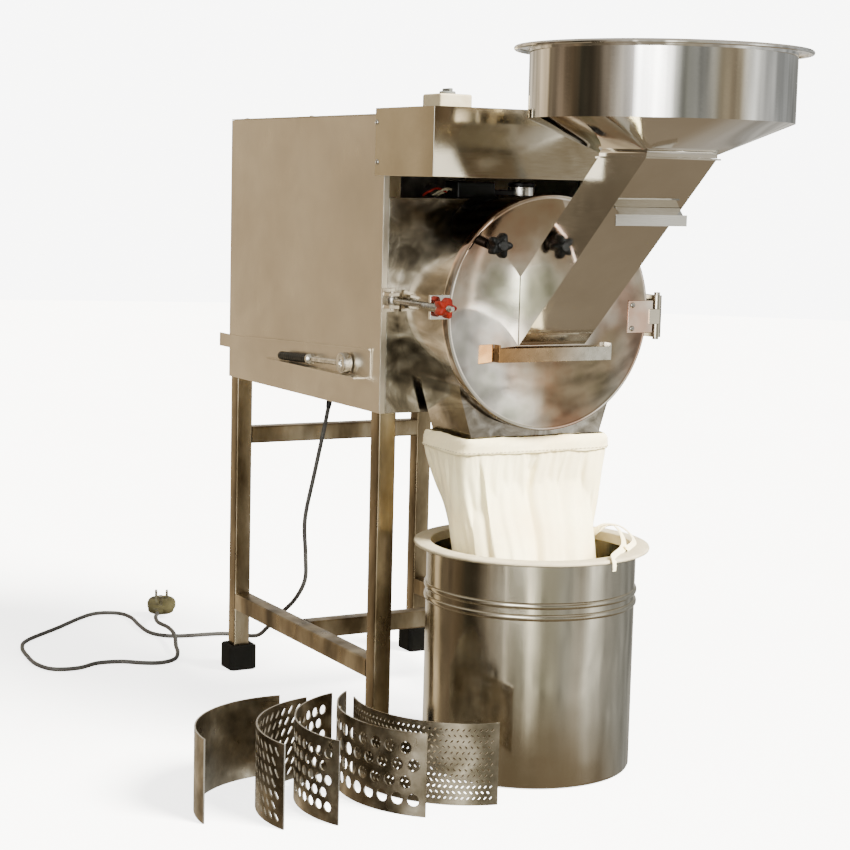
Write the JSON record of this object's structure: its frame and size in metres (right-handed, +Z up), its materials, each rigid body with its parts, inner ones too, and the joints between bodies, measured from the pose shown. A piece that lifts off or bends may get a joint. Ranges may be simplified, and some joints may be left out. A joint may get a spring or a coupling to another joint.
{
  "type": "hammer mill",
  "caption": "Belt-driven hammer mill in a steel cabinet on a tube stand, with feed hopper on the hinged door, cloth bag in a bin, loose sieves and mains cord.",
  "frame": {"origin": "on the floor, under the middle of the whole set without its cord and plug", "axes": "+Z up, the door and hopper face -Y, +X to the right seen from the front"},
  "size_m": [0.6534, 1.4163, 0.8994],
  "materials": {
    "polished_steel": "mirror polished stainless sheet",
    "cabinet_steel": "satin stainless sheet",
    "frame_steel": "welded stainless tube, dull and patchy",
    "bin_steel": "thin rolled stainless sheet",
    "sieve_steel": "punched steel sheet",
    "tool_steel": "plated",
    "cast_iron": "as cast, turned where it runs",
    "motor_paint": "grey-blue enamel",
    "rubber": "moulded",
    "black_plastic": "moulded",
    "red_plastic": "moulded",
    "cream_plastic": "moulded",
    "grey_plastic": "moulded",
    "cotton": "plain woven",
    "cord_sheath": "smooth sheath",
    "plug_plastic": "moulded, a little worn"
  },
  "bodies": {
    "frame": {"leg_front_left": "frame_steel", "foot_front_left": "rubber", "leg_front_right": "frame_steel", "foot_front_right": "rubber", "leg_rear_left": "frame_steel", "foot_rear_left": "rubber", "leg_rear_right": "frame_steel", "foot_rear_right": "rubber", "lower_rail_left": "frame_steel", "lower_rail_right": "frame_steel", "lower_cross_rail": "frame_steel", "upper_rear_rail": "frame_steel", "motor_bed": "frame_steel", "left_side_panel": "cabinet_steel", "right_side_panel": "cabinet_steel", "rear_panel": "cabinet_steel", "top_cover": "cabinet_steel", "floor_pan": "cabinet_steel", "tool_ledge": "cabinet_steel", "hinge_bracket": "cabinet_steel", "latch_bracket": "cabinet_steel", "fitted_sieve": "cabinet_steel", "hood": "polished_steel", "front_panel": "polished_steel", "drum_housing": "polished_steel", "switch_base": "cream_plastic", "capacitor": "black_plastic", "bearing_housing": "cast_iron", "bearing_front": "tool_steel", "bearing_rear": "tool_steel", "v_belt": "rubber", "motor": "motor_paint", "collecting_bag": "cotton", "collecting_bin": "bin_steel", "bin_ring": "cream_plastic", "cord_gland": "black_plastic", "power_cord": "cord_sheath", "plug": "plug_plastic"},
    "mill_rotor": {"rotor": "cast_iron", "rotor_pulley": "cast_iron"},
    "motor_rotor": {"motor_pulley": "cast_iron"},
    "hammer_1": {"hammer_1": "tool_steel"},
    "hammer_2": {"hammer_2": "tool_steel"},
    "hammer_3": {"hammer_3": "tool_steel"},
    "hammer_4": {"hammer_4": "tool_steel"},
    "door": {"door": "polished_steel", "inlet_bracket": "polished_steel", "feed_chute": "polished_steel", "hopper": "polished_steel"},
    "slide_gate": {"slide_gate": "polished_steel"},
    "star_knob": {"star_knob": "black_plastic"},
    "swing_bolt": {"swing_bolt": "tool_steel"},
    "latch_knob": {"latch_knob": "red_plastic"},
    "switch_knob": {"switch_knob": "grey_plastic"},
    "socket_spanner": {"socket_spanner": "tool_steel"},
    "sieve_plain": {"sieve_plain": "sieve_steel"},
    "sieve_slotted": {"sieve_slotted": "sieve_steel"},
    "sieve_round": {"sieve_round": "sieve_steel"},
    "sieve_large": {"sieve_large": "sieve_steel"},
    "sieve_fine": {"sieve_fine": "sieve_steel"}
  },
  "joints": [
    {"name": "rotor_spin", "type": "hinge", "parent": "frame", "child": "mill_rotor", "pos_m": [0.15275, 0, 0.5825], "axis": [0, 1, 0], "continuous": true},
    {"name": "motor_spin", "type": "hinge", "parent": "frame", "child": "motor_rotor", "pos_m": [0.15275, 0, 0.732], "axis": [0, 1, 0], "continuous": true},
    {"name": "hammer_1_swing", "type": "hinge", "parent": "mill_rotor", "child": "hammer_1", "pos_m": [0.20366, -0.05, 0.63341], "axis": [0, 1, 0], "range_deg": [-275, 5]},
    {"name": "hammer_2_swing", "type": "hinge", "parent": "mill_rotor", "child": "hammer_2", "pos_m": [0.10184, -0.05, 0.63341], "axis": [0, 1, 0], "range_deg": [-5, 275]},
    {"name": "hammer_3_swing", "type": "hinge", "parent": "mill_rotor", "child": "hammer_3", "pos_m": [0.10184, -0.05, 0.53159], "axis": [0, 1, 0], "range_deg": [-95, 185]},
    {"name": "hammer_4_swing", "type": "hinge", "parent": "mill_rotor", "child": "hammer_4", "pos_m": [0.20366, -0.05, 0.53159], "axis": [0, 1, 0], "range_deg": [-185, 95]},
    {"name": "door_hinge", "type": "hinge", "parent": "frame", "child": "door", "pos_m": [0.31875, -0.131, 0.5775], "axis": [0, 0, 1], "range_deg": [0, 110]},
    {"name": "gate_slide", "type": "slide", "parent": "door", "child": "slide_gate", "axis": [0, -0.669, -0.7433], "range_m": [0, 0.055]},
    {"name": "star_knob_turn", "type": "hinge", "parent": "door", "child": "star_knob", "pos_m": [0.06275, -0.15, 0.668], "axis": [0, 1, 0], "continuous": true},
    {"name": "latch_swing", "type": "hinge", "parent": "frame", "child": "swing_bolt", "pos_m": [-0.00725, -0.014, 0.592], "axis": [0, 0, -1], "range_deg": [0, 100]},
    {"name": "latch_knob_turn", "type": "hinge", "parent": "swing_bolt", "child": "latch_knob", "pos_m": [-0.00725, -0.152, 0.592], "axis": [0, 1, 0], "continuous": true},
    {"name": "switch_turn", "type": "hinge", "parent": "frame", "child": "switch_knob", "pos_m": [0.13775, 0.115, 0.864], "axis": [0, 0, 1], "range_deg": [0, 90]},
    {"name": "spanner_lift", "type": "slide", "parent": "frame", "child": "socket_spanner", "axis": [-1, 0, 0], "range_m": [0, 0.1]},
    {"name": "sieve_plain_lift", "type": "slide", "parent": "frame", "child": "sieve_plain", "axis": [0, 0, 1], "range_m": [0, 0.12]},
    {"name": "sieve_slotted_lift", "type": "slide", "parent": "frame", "child": "sieve_slotted", "axis": [0, 0, 1], "range_m": [0, 0.12]},
    {"name": "sieve_round_lift", "type": "slide", "parent": "frame", "child": "sieve_round", "axis": [0, 0, 1], "range_m": [0, 0.12]},
    {"name": "sieve_large_lift", "type": "slide", "parent": "frame", "child": "sieve_large", "axis": [0, 0, 1], "range_m": [0, 0.12]},
    {"name": "sieve_fine_lift", "type": "slide", "parent": "frame", "child": "sieve_fine", "axis": [0, 0, 1], "range_m": [0, 0.12]}
  ],
  "couplings": [
    {"joint": "motor_spin", "follows": "rotor_spin", "ratio": 0.7164}
  ]
}
